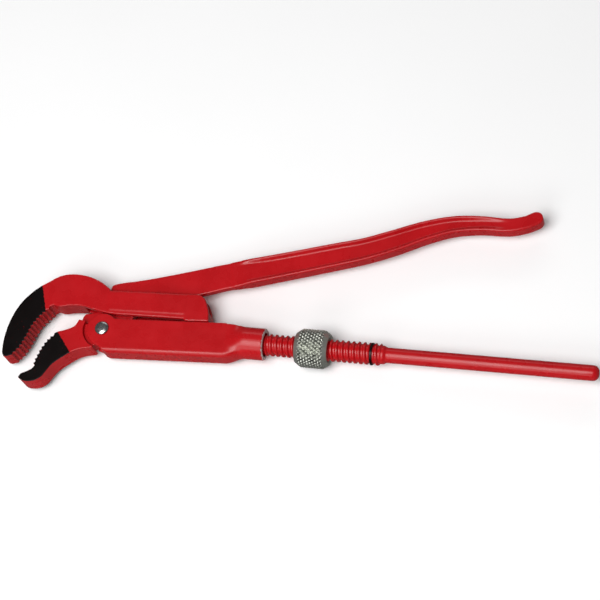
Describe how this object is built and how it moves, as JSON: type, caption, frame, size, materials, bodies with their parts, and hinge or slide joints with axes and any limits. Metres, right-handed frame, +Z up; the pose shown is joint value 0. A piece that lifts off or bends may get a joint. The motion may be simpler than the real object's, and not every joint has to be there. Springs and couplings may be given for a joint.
{
  "type": "pipe wrench",
  "caption": "Swedish-pattern pipe wrench with S-shaped serrated jaws, a sliding hook jaw on a threaded spindle with a knurled nut, and an I-section lever handle.",
  "frame": {"origin": "middle of the footprint of the tool lying flat on its side, at the level it rests on", "axes": "+X along the threaded spindle towards the handle end, +Y in the plane of the tool towards the lever handle, +Z up through the thickness"},
  "size_m": [0.4284, 0.1616, 0.0275],
  "materials": {
    "red_enamel": "semi-gloss signal red paint; jaws dipped black",
    "bright_steel": "bright peened rivet head",
    "zinc_plate": "zinc plated, diamond knurl",
    "dark_steel": "blackened spring steel"
  },
  "bodies": {
    "housing": {"slide_housing": "red_enamel", "pivot_rivet": "bright_steel"},
    "hook_leg": {"hook_jaw_leg": "red_enamel", "stop_ring": "dark_steel"},
    "lever": {"lever_handle": "red_enamel"},
    "nut": {"adjusting_nut": "zinc_plate"}
  },
  "joints": [
    {"name": "jaw_slide", "type": "slide", "parent": "housing", "child": "hook_leg", "axis": [-1, 0, 0], "range_m": [-0.008, 0.02]},
    {"name": "lever_pivot", "type": "hinge", "parent": "housing", "child": "lever", "pos_m": [-0.14156, -0.0357, 0.01375], "axis": [0, 0, 1], "range_deg": [-8, 10]},
    {"name": "nut_spin", "type": "hinge", "parent": "housing", "child": "nut", "pos_m": [0.01369, -0.0344, 0.01375], "axis": [1, 0, 0], "range_deg": [-725, 1805]}
  ],
  "couplings": [
    {"joint": "nut_spin", "follows": "jaw_slide", "rad_per_m": 1570.8}
  ]
}
